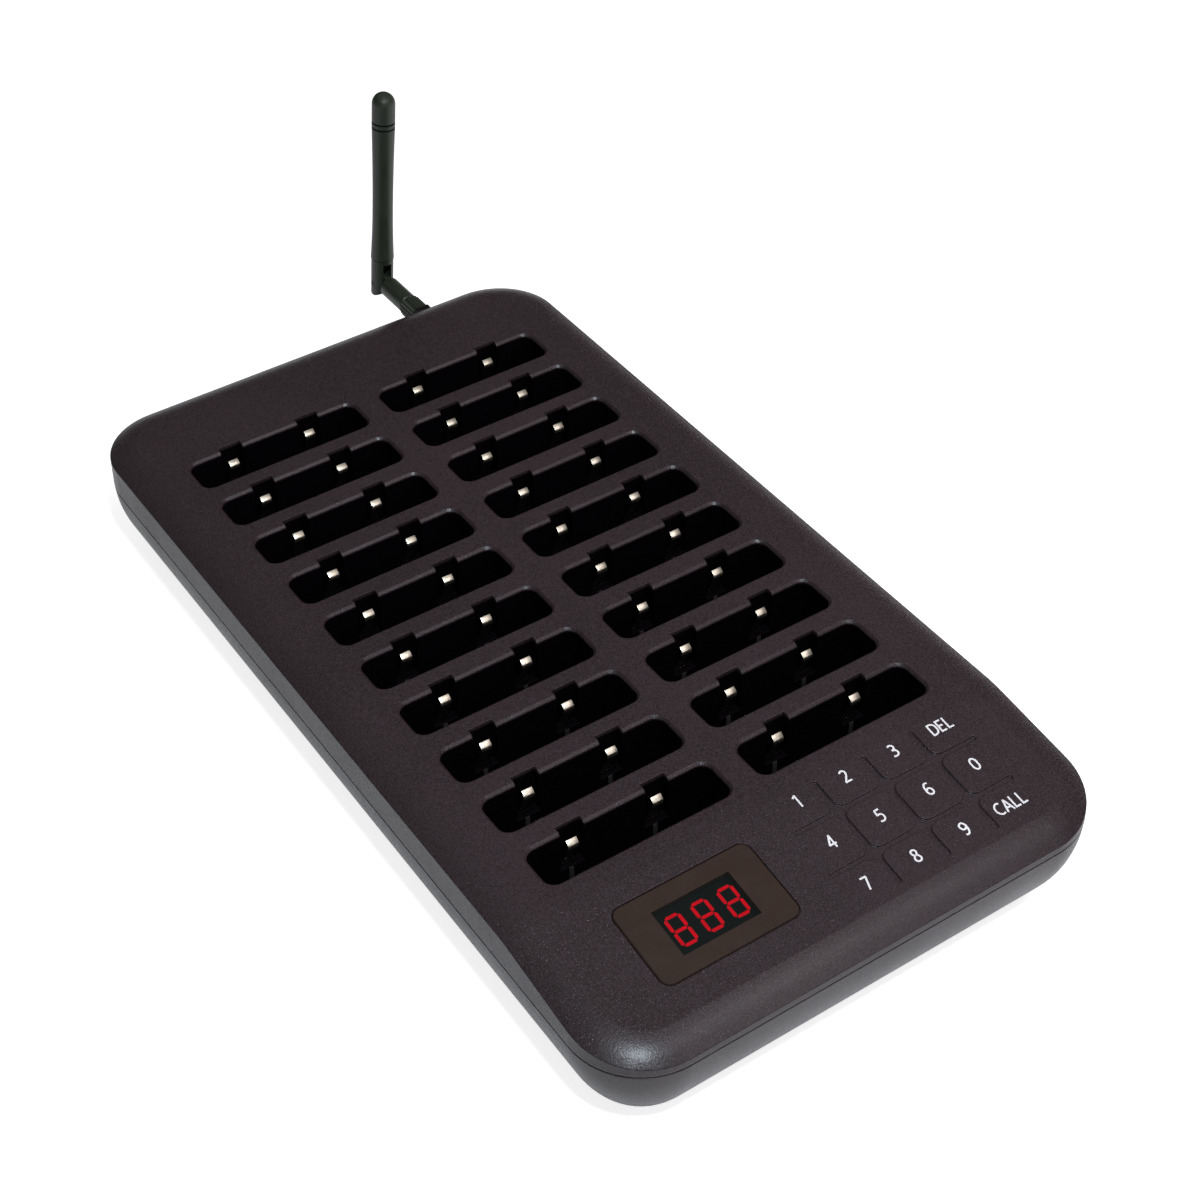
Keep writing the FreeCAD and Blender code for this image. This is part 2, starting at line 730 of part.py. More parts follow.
def make_dc_jack():
    face = rear_face - jack_face_inset
    body = slab(jack_x - jack_width / 2, jack_x + jack_width / 2, face - jack_length, face, rear_board_top,
                rear_board_top + jack_height)
    bore_z = rear_board_top + jack_height / 2
    bore = rod(vec(jack_x, face - jack_bore_depth, bore_z), y_axis, jack_bore_depth + overrun, jack_bore_radius)
    pin = rod(vec(jack_x, face - jack_bore_depth - case_wall, bore_z), y_axis, jack_bore_depth, jack_pin_radius)
    return body.cut(bore).fuse(pin).removeSplitter()


def make_radio_can():
    half_x, half_y = can_width / 2, can_depth / 2
    return rounded_slab(can_x - half_x, can_x + half_x, rear_board_y - half_y, rear_board_y + half_y,
                        rear_board_top, rear_board_top + can_height, fit_gap * 4)


def make_buzzer():
    top = rear_board_top + buzzer_height
    body = disc(buzzer_x, rear_board_y, rear_board_top, top, buzzer_radius)
    return body.cut(disc(buzzer_x, rear_board_y, top - buzzer_height / 4, top + overrun, buzzer_hole_radius))


# Antenna

def turned_part(points):
    """A part turned on the Z axis from (radius, z) points and arcs."""
    return outline(*points).revolve(origin, z_axis, 360)


def along_connector(shape, y):
    """From a part turned on Z to the connector's axis, which runs to the back."""
    place = FreeCAD.Placement(vec(antenna_x, y, antenna_z), FreeCAD.Rotation(x_axis, -90))
    return placed(shape, place)


def leaned(shape):
    """Turn what swivels with the antenna to its rest lean."""
    copy = shape.copy()
    copy.rotate(vec(antenna_x, hinge_y, antenna_z), y_axis, antenna_lean)
    return copy


def make_antenna_socket():
    inner_face = rear_face - cover_wall - fit_gap * 2
    half = socket_flange / 2
    flange = slab(antenna_x - half, antenna_x + half, inner_face - socket_flange_thickness, inner_face,
                  antenna_z - half, antenna_z + half)
    thread = rod(vec(antenna_x, inner_face - fit_gap, antenna_z), y_axis,
                 rear_face + socket_length - inner_face, socket_radius)
    tail_start = inner_face - socket_flange_thickness - socket_tail_length
    tail = rod(vec(antenna_x, tail_start, antenna_z), y_axis, socket_tail_length + fit_gap, socket_tail_radius)
    return flange.fuse([thread, tail]).removeSplitter()


def make_socket_washer():
    ring_face = outline((socket_radius + fit_gap, 0), (washer_radius, 0), (washer_radius, washer_thickness),
                        (socket_radius + fit_gap, washer_thickness), (socket_radius + fit_gap, 0))
    return along_connector(ring_face.revolve(origin, z_axis, 360), rear_face + fit_gap / 3)


def make_socket_nut():
    start = washer_thickness + fit_gap / 3
    reach = socket_nut_width / 2 / math.cos(math.radians(30))
    corners = [vec(reach * math.cos(math.radians(60 * k)), reach * math.sin(math.radians(60 * k)), 0)
               for k in range(6)]
    blank = Part.Face(Part.makePolygon(corners + [corners[0]])).extrude(vec(0, 0, socket_nut_height))
    nut = blank.cut(disc(0, 0, -overrun, overrun, socket_radius + fit_gap / 2))
    return along_connector(nut, rear_face + start)


def make_antenna_nut():
    """Knurled coupling ring of the antenna, screwed onto the socket."""
    radius, length = antenna_nut_radius, antenna_nut_length
    bore = neck_radius + running_gap
    edge = knurl_depth * 2
    rim = radius + knurl_depth
    body = turned_part([(bore, 0), (radius - knurl_depth, 0), (rim, edge), (rim, length - edge),
                        (radius - knurl_depth, length), (bore, length), (bore, 0)])
    crests = []
    for k in range(knurl_count * 2):
        reach = radius - knurl_depth * (k % 2)
        turn = math.pi / knurl_count * k
        crests.append(vec(reach * math.cos(turn), reach * math.sin(turn), 0))
    star = Part.Face(Part.makePolygon(crests + [crests[0]])).extrude(vec(0, 0, length))
    return along_connector(body.common(star), nut_start)


def make_antenna_barrel():
    """Swivelling barrel: a neck in the coupling ring, the body, and the tongue of the fold hinge."""
    shoulder = nut_end + running_gap * 3
    face = hinge_y - hinge_face_gap
    edge = knurl_depth
    body = rod(vec(antenna_x, shoulder, antenna_z), y_axis, face - shoulder, barrel_radius)
    rims = [e for e in body.Edges if e.Closed]
    body = body.makeChamfer(edge, rims)
    neck = rod(vec(antenna_x, nut_end - neck_length, antenna_z), y_axis, neck_length + edge, neck_radius)
    half = tongue_width / 2
    tongue = slab(antenna_x - half, antenna_x + half, face - edge, hinge_y, antenna_z - tongue_radius,
                  antenna_z + tongue_radius)
    eye = rod(vec(antenna_x - half, hinge_y, antenna_z), x_axis, tongue_width, tongue_radius)
    hole = rod(vec(antenna_x - fork_radius, hinge_y, antenna_z), x_axis, fork_radius * 2, pin_radius + pin_gap)
    return leaned(body.fuse([neck, tongue, eye]).cut(hole).removeSplitter())


def at_hinge(shape):
    return leaned(moved(shape, antenna_x, hinge_y, antenna_z))


def make_antenna_fork():
    stem = disc(0, 0, -fork_ear_radius, fork_height, fork_radius)
    ears = rod(vec(-fork_radius, 0, 0), x_axis, fork_radius * 2, fork_ear_radius)
    above = slab(-fork_radius, fork_radius, -fork_radius, fork_radius, 0, fork_height)
    stem = stem.common(ears.fuse(above))
    spigot = disc(0, 0, fork_height - fit_gap, fork_height + spigot_length, spigot_radius)
    slot = slab(-fork_slot_width / 2, fork_slot_width / 2, -fork_ear_radius, fork_ear_radius,
                -fork_ear_radius, fork_slot_top)
    hole = rod(vec(-fork_radius, 0, 0), x_axis, fork_radius * 2, pin_radius + pin_gap / 2)
    return at_hinge(stem.fuse(spigot).cut([slot, hole]).removeSplitter())


def make_antenna_pin():
    length = fork_radius * 2 - pin_radius / 2
    return at_hinge(rod(vec(-length / 2, 0, 0), x_axis, length, pin_radius))


def make_antenna_sleeve():
    """Waisted sleeve over the fork's spigot, with a ring groove near its top."""
    bottom, top = fork_height, sleeve_top_height
    bore, bore_top = spigot_radius + fit_gap / 3, fork_height + spigot_length + fit_gap
    groove_low = top - ring_band - ring_groove_width
    groove_radius = sleeve_top_radius - ring_groove_depth
    quarter_share = 0.5
    mid_height = bottom + (sleeve_waist_height - bottom) * quarter_share
    upper_height = sleeve_waist_height + (groove_low - sleeve_waist_height) * quarter_share
    lower = (sleeve_waist_radius + (sleeve_foot_radius - sleeve_waist_radius) * quarter_share ** 2, mid_height)
    upper = (sleeve_waist_radius + (sleeve_top_radius - sleeve_waist_radius) * quarter_share ** 2, upper_height)
    return at_hinge(turned_part([
        (bore, bottom), (sleeve_foot_radius, bottom),
        (lower, (sleeve_waist_radius, sleeve_waist_height)),
        (upper, (sleeve_top_radius, groove_low)),
        (groove_radius, groove_low), (groove_radius, groove_low + ring_groove_width),
        (sleeve_top_radius, groove_low + ring_groove_width), (sleeve_top_radius, top),
        (0, top), (0, bore_top), (bore, bore_top), (bore, bottom)]))


def make_antenna_cap():
    """Domed cap, set on the sleeve with a ring groove between them."""
    low, high = sleeve_top_height, antenna_length
    radius = sleeve_top_radius
    neck = radius - ring_groove_depth
    dome_low = high - radius
    turn = math.radians(45)
    return at_hinge(turned_part([
        (0, low), (neck, low), (neck, low + ring_groove_width), (radius, low + ring_groove_width),
        (radius, dome_low), ((radius * math.cos(turn), dome_low + radius * math.sin(turn)), (0, high)),
        (0, low)]))


def build_nodes():
    nodes = {
        "top_cover": make_top_cover(),
        "bottom_case": make_bottom_case(),
        "rubber_feet": make_feet(),
        "case_screws": make_case_screws(),
        "board_screws": make_board_screws(),
        "display_window": make_display_window(),
        "led_display": make_led_display(),
        "control_board": make_control_board(),
        "touch_pads": make_touch_pads(),
        "left_contact_board": make_contact_board(-1),
        "right_contact_board": make_contact_board(1),
        "left_contact_legs": make_contact_legs(slot_centres[0]),
        "right_contact_legs": make_contact_legs(slot_centres[1]),
        "rear_board": make_rear_board(),
        "radio_can": make_radio_can(),
        "buzzer": make_buzzer(),
        "dc_jack": make_dc_jack(),
        "antenna_socket": make_antenna_socket(),
        "socket_washer": make_socket_washer(),
        "socket_nut": make_socket_nut(),
        "antenna_nut": make_antenna_nut(),
        "antenna_barrel": make_antenna_barrel(),
        "antenna_fork": make_antenna_fork(),
        "antenna_pin": make_antenna_pin(),
        "antenna_sleeve": make_antenna_sleeve(),
        "antenna_cap": make_antenna_cap(),
    }
    for name, x in zip(("left", "right"), slot_centres):
        for row, y in enumerate(slot_backs):
            nodes[f"contact_pair_{name}_{row + 1:02d}"] = make_contact_pair(x, y)
    return nodes


def main():
    os.makedirs("parts", exist_ok=True)
    for name, shape in build_nodes().items():
        shape.exportStep(os.path.join("parts", name + ".step"))
        print(name, "solids", len(shape.Solids), "valid", shape.isValid(), "volume", round(shape.Volume, 1))


main()
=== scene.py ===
import bmesh
import bpy
import math
from mathutils import Euler, Matrix, Vector


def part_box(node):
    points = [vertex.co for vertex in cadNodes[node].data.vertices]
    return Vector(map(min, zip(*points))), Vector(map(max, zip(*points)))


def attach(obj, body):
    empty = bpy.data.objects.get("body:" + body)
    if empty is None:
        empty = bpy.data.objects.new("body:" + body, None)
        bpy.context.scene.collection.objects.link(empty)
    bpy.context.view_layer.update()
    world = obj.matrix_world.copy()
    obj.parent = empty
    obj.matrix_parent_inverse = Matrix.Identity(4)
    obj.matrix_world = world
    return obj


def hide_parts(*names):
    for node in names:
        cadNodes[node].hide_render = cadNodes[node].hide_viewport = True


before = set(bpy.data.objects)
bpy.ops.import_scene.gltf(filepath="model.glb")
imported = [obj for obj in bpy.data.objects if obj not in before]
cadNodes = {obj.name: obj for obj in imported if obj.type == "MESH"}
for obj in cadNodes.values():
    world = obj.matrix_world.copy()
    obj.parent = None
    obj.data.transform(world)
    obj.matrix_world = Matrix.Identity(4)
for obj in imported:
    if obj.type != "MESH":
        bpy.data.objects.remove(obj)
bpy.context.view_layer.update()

# Charging and calling base for guest pagers: the looks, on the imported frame. Sizes below are in millimetres.
mm = 0.001
collection = bpy.context.scene.collection

# where the sloped front zone starts, and the frame that its labels and digits lie in
slopeFace = {"start": -91.69, "deck": 37.0, "tilt": 8.0}
slopeFrame = (Matrix.Translation(Vector((0, slopeFace["start"], slopeFace["deck"])) * mm)
              @ Matrix.Rotation(math.radians(slopeFace["tilt"]), 4, "X"))
screwAxes = [(sx * 60.0, sy * 121.0) for sx in (-1, 1) for sy in (-1, 1)] + [(0.0, 50.03), (0.0, -29.97)]


# shared shader groups

def newGroup(name, inputs, outputs):
    group = bpy.data.node_groups.new(name, "ShaderNodeTree")
    for label, kind, value in inputs:
        socket = group.interface.new_socket(label, in_out="INPUT", socket_type=kind)
        if value is not None:
            socket.default_value = value
    for label, kind in outputs:
        group.interface.new_socket(label, in_out="OUTPUT", socket_type=kind)
    return group, group.nodes.new("NodeGroupInput"), group.nodes.new("NodeGroupOutput")


def addNode(tree, kind, settings=None, values=None):
    node = tree.nodes.new(kind)
    for key, value in (settings or {}).items():
        setattr(node, key, value)
    for key, value in (values or {}).items():
        node.inputs[key].default_value = value
    return node


def mapRange(tree, source, low, high, toLow=0.0, toHigh=1.0):
    node = addNode(tree, "ShaderNodeMapRange", values={1: low, 2: high, 3: toLow, 4: toHigh})
    tree.links.new(source, node.inputs[0])
    return node.outputs[0]


def calculate(tree, operation, first, second):
    node = addNode(tree, "ShaderNodeMath", {"operation": operation})
    for index, value in enumerate((first, second)):
        if isinstance(value, (int, float)):
            node.inputs[index].default_value = value
        else:
            tree.links.new(value, node.inputs[index])
    return node.outputs[0]


def makeMouldGrain():
    # spark-eroded mould texture: rounded pits, and the few that catch the light
    group, start, end = newGroup("mouldGrain", [("Vector", "NodeSocketVector", None),
                                                ("Grain Size mm", "NodeSocketFloat", 0.4)],
                                 [("Height", "NodeSocketFloat"), ("Fleck", "NodeSocketFloat"),
                                  ("Cloud", "NodeSocketFloat")])
    scale = calculate(group, "DIVIDE", 1000.0, start.outputs["Grain Size mm"])
    pits = addNode(group, "ShaderNodeTexVoronoi", {"feature": "SMOOTH_F1"}, {"Smoothness": 0.6})
    soft = addNode(group, "ShaderNodeTexNoise", values={"Detail": 2.0, "Roughness": 0.6})
    flecks = addNode(group, "ShaderNodeTexNoise", values={"Detail": 0.0})
    cloud = addNode(group, "ShaderNodeTexNoise", values={"Scale": 22.0, "Detail": 3.0, "Roughness": 0.55})
    for node in (pits, soft, flecks, cloud):
        group.links.new(start.outputs["Vector"], node.inputs["Vector"])
    group.links.new(scale, pits.inputs["Scale"])
    group.links.new(calculate(group, "MULTIPLY", scale, 0.7), soft.inputs["Scale"])
    group.links.new(calculate(group, "MULTIPLY", scale, 1.3), flecks.inputs["Scale"])
    height = calculate(group, "ADD", calculate(group, "MULTIPLY", pits.outputs["Distance"], 0.7),
                       calculate(group, "MULTIPLY", soft.outputs[0], 0.8))
    group.links.new(height, end.inputs["Height"])
    group.links.new(mapRange(group, flecks.outputs[0], 0.64, 0.76), end.inputs["Fleck"])
    group.links.new(mapRange(group, cloud.outputs[0], 0.35, 0.65), end.inputs["Cloud"])
    return group


def makeHandling():
    # what hands and cloths leave: wide smears and fine straight scratches
    group, start, end = newGroup("handling", [("Vector", "NodeSocketVector", None),
                                              ("Smear Size mm", "NodeSocketFloat", 30.0)],
                                 [("Smear", "NodeSocketFloat"), ("Scratch", "NodeSocketFloat")])
    scale = calculate(group, "DIVIDE", 1000.0, start.outputs["Smear Size mm"])
    smear = addNode(group, "ShaderNodeTexNoise", values={"Detail": 4.0, "Roughness": 0.65, "Distortion": 0.8})
    group.links.new(start.outputs["Vector"], smear.inputs["Vector"])
    group.links.new(scale, smear.inputs["Scale"])
    stretch = addNode(group, "ShaderNodeMapping",
                      values={"Rotation": (0.2, 0.1, 0.7), "Scale": (8.0, 0.35, 3.0)})
    group.links.new(start.outputs["Vector"], stretch.inputs["Vector"])
    scratch = addNode(group, "ShaderNodeTexNoise", values={"Scale": 260.0, "Detail": 1.0})
    group.links.new(stretch.outputs[0], scratch.inputs["Vector"])
    group.links.new(mapRange(group, smear.outputs[0], 0.38, 0.68), end.inputs["Smear"])
    group.links.new(mapRange(group, scratch.outputs[0], 0.66, 0.72), end.inputs["Scratch"])
    return group


mouldGrain = makeMouldGrain()
handling = makeHandling()
print("shader groups made")


# finishes

def newFinish(name, **constants):
    material = bpy.data.materials.new(name)
    material.use_nodes = True
    tree = material.node_tree
    shader = tree.nodes["Principled BSDF"]
    for key, value in constants.items():
        shader.inputs[key.replace("_", " ")].default_value = value
    coordinates = addNode(tree, "ShaderNodeTexCoord")
    return material, tree, shader, coordinates.outputs["Object"]


def placeGroup(tree, group, vector, **values):
    node = addNode(tree, "ShaderNodeGroup", {"node_tree": group})
    for key, value in values.items():
        node.inputs[key.replace("_", " ")].default_value = value
    tree.links.new(vector, node.inputs["Vector"])
    return node


def mixColours(tree, factor, first, second):
    node = addNode(tree, "ShaderNodeMix", {"data_type": "RGBA"})
    tree.links.new(factor, node.inputs["Factor"])
    for socket, colour in ((node.inputs["A"], first), (node.inputs["B"], second)):
        if isinstance(colour, tuple):
            socket.default_value = (*colour, 1.0)
        else:
            tree.links.new(colour, socket)
    return node.outputs["Result"]


def addBump(tree, shader, height, depth):
    bump = addNode(tree, "ShaderNodeBump", values={"Strength": 1.0, "Distance": depth * mm})
    tree.links.new(height, bump.inputs["Height"])
    tree.links.new(bump.outputs[0], shader.inputs["Normal"])
    return bump


# inside and pocketShadeTint are painted shade: the near-black colour and the dimmed reflections of the pockets'
# walls
casePlastic = {"dark": (0.0126, 0.0076, 0.0089), "light": (0.0405, 0.0256, 0.0296),
               "fleck": (0.110, 0.104, 0.130), "fleckShare": 0.2, "fleckRise": 0.75, "fleckGloss": 0.1,
               "grain": 0.42, "grainDepth": 0.034, "cloudShare": 0.12, "tone": (0.46, 0.96),
               "smear": 38.0, "rough": (0.31, 0.38), "edge": 0.52, "edgeSamples": 6,
               "inside": (0.0016, 0.0007, 0.0015), "insideRough": 0.6, "pocketShadeTint": (0.22, 0.18, 0.22),
               "pockets": ((-59.0, 59.0), (-88.0, 110.0)), "lip": 36.15, "fade": 0.5}


def makeCasePlastic():
    look = casePlastic
    material, tree, shader, place = newFinish("grainedCasePlastic", IOR=1.46, Coat_Weight=0.11,
                                              Coat_Roughness=0.26)
    grain = placeGroup(tree, mouldGrain, place, Grain_Size_mm=look["grain"])
    marks = placeGroup(tree, handling, place, Smear_Size_mm=look["smear"])
    cloud = calculate(tree, "MULTIPLY", grain.outputs["Cloud"], look["cloudShare"])
    tone = mapRange(tree, calculate(tree, "ADD", grain.outputs["Height"], cloud), *look["tone"])
    colour = mixColours(tree, tone, look["dark"], look["light"])
    fleck = calculate(tree, "MULTIPLY", grain.outputs["Fleck"], look["fleckShare"])
    colour = mixColours(tree, fleck, colour, look["fleck"])
    # painted shade: below the lip, the pockets' walls are painted near-black, with dimmed and rougher
    # reflections
    parts = addNode(tree, "ShaderNodeSeparateXYZ")
    tree.links.new(place, parts.inputs[0])
    inside = mapRange(tree, parts.outputs[2], look["lip"] * mm, (look["lip"] - look["fade"]) * mm)
    for axis, (low, high) in enumerate(look["pockets"]):
        for limit, away in ((low, look["fade"]), (high, -look["fade"])):
            edge = mapRange(tree, parts.outputs[axis], limit * mm, (limit + away) * mm)
            inside = calculate(tree, "MULTIPLY", inside, edge)
    tree.links.new(mixColours(tree, inside, colour, look["inside"]), shader.inputs["Base Color"])
    rough = mapRange(tree, marks.outputs["Smear"], 0.0, 1.0, look["rough"][0], look["rough"][1])
    rough = calculate(tree, "SUBTRACT", rough,
                      calculate(tree, "MULTIPLY", grain.outputs["Fleck"], look["fleckGloss"]))
    # painted shade: reflections on the pockets' walls are dimmed through the specular tint
    tint = mixColours(tree, inside, (1.0, 1.0, 1.0), look["pocketShadeTint"])
    tree.links.new(tint, shader.inputs["Specular Tint"])
    wall = calculate(tree, "MULTIPLY", inside, look["insideRough"])
    tree.links.new(calculate(tree, "MAXIMUM", rough, wall), shader.inputs["Roughness"])
    raised = calculate(tree, "MULTIPLY", grain.outputs["Fleck"], look["fleckRise"])
    bump = addBump(tree, shader, calculate(tree, "ADD", grain.outputs["Height"], raised), look["grainDepth"])
    rounded = addNode(tree, "ShaderNodeBevel", {"samples": look["edgeSamples"]}, {"Radius": look["edge"] * mm})
    tree.links.new(rounded.outputs[0], bump.inputs["Normal"])
    return material


# leg is painted shade: the near-black colour of each leaf's lower part, down in the pocket's channel
springMetal = {"bright": (0.88, 0.79, 0.65), "dull": (0.68, 0.60, 0.48), "leg": (0.12, 0.105, 0.09),
               "shadedBelow": 29.9, "fade": 0.5, "smear": 3.0, "rough": (0.32, 0.42)}


def makeSpringMetal():
    look = springMetal
    material, tree, shader, place = newFinish("nickelSpring", Metallic=1.0)
    marks = placeGroup(tree, handling, place, Smear_Size_mm=look["smear"])
    parts = addNode(tree, "ShaderNodeSeparateXYZ")
    tree.links.new(place, parts.inputs[0])
    # painted shade: the leaf is near-black below the given height, in the channel, and nickel above it
    aboveShade = mapRange(tree, parts.outputs[2], look["shadedBelow"] * mm, (look["shadedBelow"] + look["fade"]) * mm)
    polished = mixColours(tree, marks.outputs["Smear"], look["bright"], look["dull"])
    tree.links.new(mixColours(tree, aboveShade, look["leg"], polished), shader.inputs["Base Color"])
    rough = mapRange(tree, marks.outputs["Smear"], 0.0, 1.0, look["rough"][0], look["rough"][1])
    tree.links.new(calculate(tree, "ADD", rough, calculate(tree, "MULTIPLY", marks.outputs["Scratch"], 0.15)),
                   shader.inputs["Roughness"])
    addBump(tree, shader, marks.outputs["Scratch"], 0.0015)
    return material


def makePlainFinish(name, dark, light, rough, grainSize, grainDepth, metallic=0.0, smearSize=12.0, shine=0.5):
    # a finish with grain, tone and gloss that vary over the piece
    material, tree, shader, place = newFinish(name, Metallic=metallic, Specular_IOR_Level=shine)
    grain = placeGroup(tree, mouldGrain, place, Grain_Size_mm=grainSize)
    marks = placeGroup(tree, handling, place, Smear_Size_mm=smearSize)
    tree.links.new(mixColours(tree, marks.outputs["Smear"], dark, light), shader.inputs["Base Color"])
    level = mapRange(tree, marks.outputs["Smear"], 0.0, 1.0, rough[0], rough[1])
    tree.links.new(calculate(tree, "ADD", level, calculate(tree, "MULTIPLY", grain.outputs["Fleck"], 0.08)),
                   shader.inputs["Roughness"])
    addBump(tree, shader, grain.outputs["Height"], grainDepth)
    return material


windowLook = {"border": (0.0370, 0.0225, 0.0172), "borderLight": (0.0425, 0.0268, 0.0208),
              "clear": (0.006, 0.009, 0.008),
              "centre": (-31.3, -20.2), "half": (11.2, 6.8), "clearAlpha": 0.3,
              "fade": 0.12, "smear": 9.0, "rough": (0.5, 0.56), "edge": 0.3}


def makeWindowPane():
    # smoked pane, printed brown behind all but the rectangle over the display
    look = windowLook
    material, tree, shader, place = newFinish("smokedPane", IOR=1.4, Specular_IOR_Level=0.24)
    rectangle = []
    back = slopeFrame.inverted()
    mapping = addNode(tree, "ShaderNodeMapping",
                      values={"Location": tuple(back.translation), "Rotation": tuple(back.to_euler())})
    tree.links.new(place, mapping.inputs["Vector"])
    parts = addNode(tree, "ShaderNodeSeparateXYZ")
    tree.links.new(mapping.outputs[0], parts.inputs[0])
    for axis in (0, 1):
        offset = calculate(tree, "SUBTRACT", parts.outputs[axis], look["centre"][axis] * mm)
        reach = calculate(tree, "ABSOLUTE", offset, 0.0)
        half = look["half"][axis] * mm
        rectangle.append(mapRange(tree, reach, half, half - look["fade"] * mm))
    inside = calculate(tree, "MULTIPLY", rectangle[0], rectangle[1])
    marks = placeGroup(tree, handling, place, Smear_Size_mm=look["smear"])
    border = mixColours(tree, marks.outputs["Smear"], look["border"], look["borderLight"])
    tree.links.new(mixColours(tree, inside, border, look["clear"]), shader.inputs["Base Color"])
    tree.links.new(mapRange(tree, inside, 0.0, 1.0, 1.0, look["clearAlpha"]), shader.inputs["Alpha"])
    tree.links.new(mapRange(tree, marks.outputs["Smear"], 0.0, 1.0, *look["rough"]), shader.inputs["Roughness"])
    rounded = addNode(tree, "ShaderNodeBevel", {"samples": 4}, {"Radius": look["edge"] * mm})
    tree.links.new(rounded.outputs[0], shader.inputs["Normal"])
    return material


# folding mast: heights above the hinge, along the mast, of the near-black bands painted at its seams and grooves
# as painted shade
mastLook = {"dark": (0.0240, 0.0315, 0.0200), "light": (0.0320, 0.0405, 0.0270),
            "seamShade": (0.0006, 0.0006, 0.0005),
            "shadedSeams": ((54.7, 55.45), (56.45, 57.2), (8.5, 8.85)), "lean": 5.7,
            "rough": (0.34, 0.44), "smear": 12.0, "grain": 0.25, "grainDepth": 0.008}
hinge = sum((Vector(corner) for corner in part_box("antenna_pin")), Vector()) / 2
mastFrame = Matrix.Translation(hinge) @ Matrix.Rotation(math.radians(mastLook["lean"]), 4, "Y")


def makeMastPlastic():
    look = mastLook
    material, tree, shader, place = newFinish("mastPlastic")
    grain = placeGroup(tree, mouldGrain, place, Grain_Size_mm=look["grain"])
    marks = placeGroup(tree, handling, place, Smear_Size_mm=look["smear"])
    back = mastFrame.inverted()
    along = addNode(tree, "ShaderNodeMapping",
                    values={"Location": tuple(back.translation), "Rotation": tuple(back.to_euler())})
    tree.links.new(place, along.inputs["Vector"])
    parts = addNode(tree, "ShaderNodeSeparateXYZ")
    tree.links.new(along.outputs[0], parts.inputs[0])
    height = parts.outputs[2]
    seamShade = None
    for low, high in look["shadedSeams"]:
        middle, half = (low + high) / 2 * mm, (high - low) / 2 * mm
        reach = calculate(tree, "ABSOLUTE", calculate(tree, "SUBTRACT", height, middle), 0.0)
        band = mapRange(tree, reach, half, half * 0.7)
        seamShade = band if seamShade is None else calculate(tree, "MAXIMUM", seamShade, band)
    colour = mixColours(tree, marks.outputs["Smear"], look["dark"], look["light"])
    # painted shade: near-black, fully rough bands at the seams and grooves
    tree.links.new(mixColours(tree, seamShade, colour, look["seamShade"]), shader.inputs["Base Color"])
    rough = mapRange(tree, marks.outputs["Smear"], 0.0, 1.0, *look["rough"])
    tree.links.new(calculate(tree, "MAXIMUM", rough, seamShade), shader.inputs["Roughness"])
    addBump(tree, shader, grain.outputs["Height"], look["grainDepth"])
    return material


digitLook = {"lit": (0.92, 0.0, 0.014), "litDim": (0.72, 0.002, 0.012), "strength": 1.15,
             "body": (0.20, 0.0, 0.004), "bodyDim": (0.15, 0.0, 0.003), "smear": 2.0}


def makeLitSegment():
    material, tree, shader, place = newFinish("litSegment", Roughness=0.5, Specular_IOR_Level=0.05,
                                              Emission_Strength=digitLook["strength"])
    marks = placeGroup(tree, handling, place, Smear_Size_mm=digitLook["smear"])
    glow = mixColours(tree, marks.outputs["Smear"], digitLook["lit"], digitLook["litDim"])
    tree.links.new(glow, shader.inputs["Emission Color"])
    tree.links.new(mixColours(tree, marks.outputs["Smear"], digitLook["body"], digitLook["bodyDim"]),
                   shader.inputs["Base Color"])
    return material


finishes = {
    "case": makeCasePlastic(),
    "spring": makeSpringMetal(),
    "pane": makeWindowPane(),
    "segment": makeLitSegment(),
    "displayFace": makePlainFinish("displayFace", (0.012, 0.015, 0.013), (0.015, 0.018, 0.016), (0.55, 0.6),
                                   0.5, 0.001, shine=0.2),
    "ink": makePlainFinish("whiteInk", (0.86, 0.84, 0.86), (0.94, 0.92, 0.94), (0.45, 0.6), 0.15, 0.01),
    "mast": makeMastPlastic(),
    # painted shade: a near-black finish for the block that fills the fork's slot
    "shadeBlack": makePlainFinish("paintedShadeBlack", (0.0010, 0.0011, 0.0008), (0.002, 0.002, 0.0015), (0.6, 0.7),
                              0.25, 0.004, shine=0.1),
    "connector": makePlainFinish("blackNickel", (0.060, 0.056, 0.052), (0.090, 0.085, 0.080), (0.3, 0.45), 0.3,
                                 0.006, 1.0),
    "steel": makePlainFinish("zincSteel", (0.42, 0.42, 0.43), (0.52, 0.52, 0.52), (0.28, 0.45), 0.3, 0.008, 1.0),
    "rubber": makePlainFinish("footRubber", (0.016, 0.016, 0.016), (0.028, 0.027, 0.026), (0.7, 0.85),
                              0.35, 0.04),
    # painted shade: the spring tails get a near-black dull finish in place of the springs' nickel
    "tail": makePlainFinish("shadedTailBlack", (0.022, 0.019, 0.018), (0.030, 0.026, 0.025), (0.45, 0.55),
                            0.3, 0.004, shine=0.3),
    "board": makePlainFinish("solderMask", (0.010, 0.060, 0.022), (0.016, 0.085, 0.032), (0.25, 0.4), 0.5, 0.01),
    "foam": makePlainFinish("padFoam", (0.03, 0.03, 0.033), (0.045, 0.045, 0.05), (0.8, 0.9), 0.5, 0.08),
    "black": makePlainFinish("plainBlack", (0.010, 0.010, 0.011), (0.016, 0.016, 0.017), (0.4, 0.5), 0.3, 0.01),
}
print("finishes made:", len(finishes))


# pieces

def finishPiece(mesh, name, body, finish, sharp=40.0, replaced=()):
    for polygon in mesh.polygons:
        polygon.use_smooth = True
    mesh.set_sharp_from_angle(angle=math.radians(sharp))
    mesh.materials.clear()
    mesh.materials.append(finishes[finish])
    piece = bpy.data.objects.new(name, mesh)
    collection.objects.link(piece)
    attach(piece, body)
    if replaced:
        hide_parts(*replaced)


def meshFrom(bm, name):
    mesh = bpy.data.meshes.new(name)
    bm.to_mesh(mesh)
    bm.free()
    return mesh


def paintNode(name, finish):
    for slot in cadNodes[name].material_slots:
        slot.material = finishes[finish]


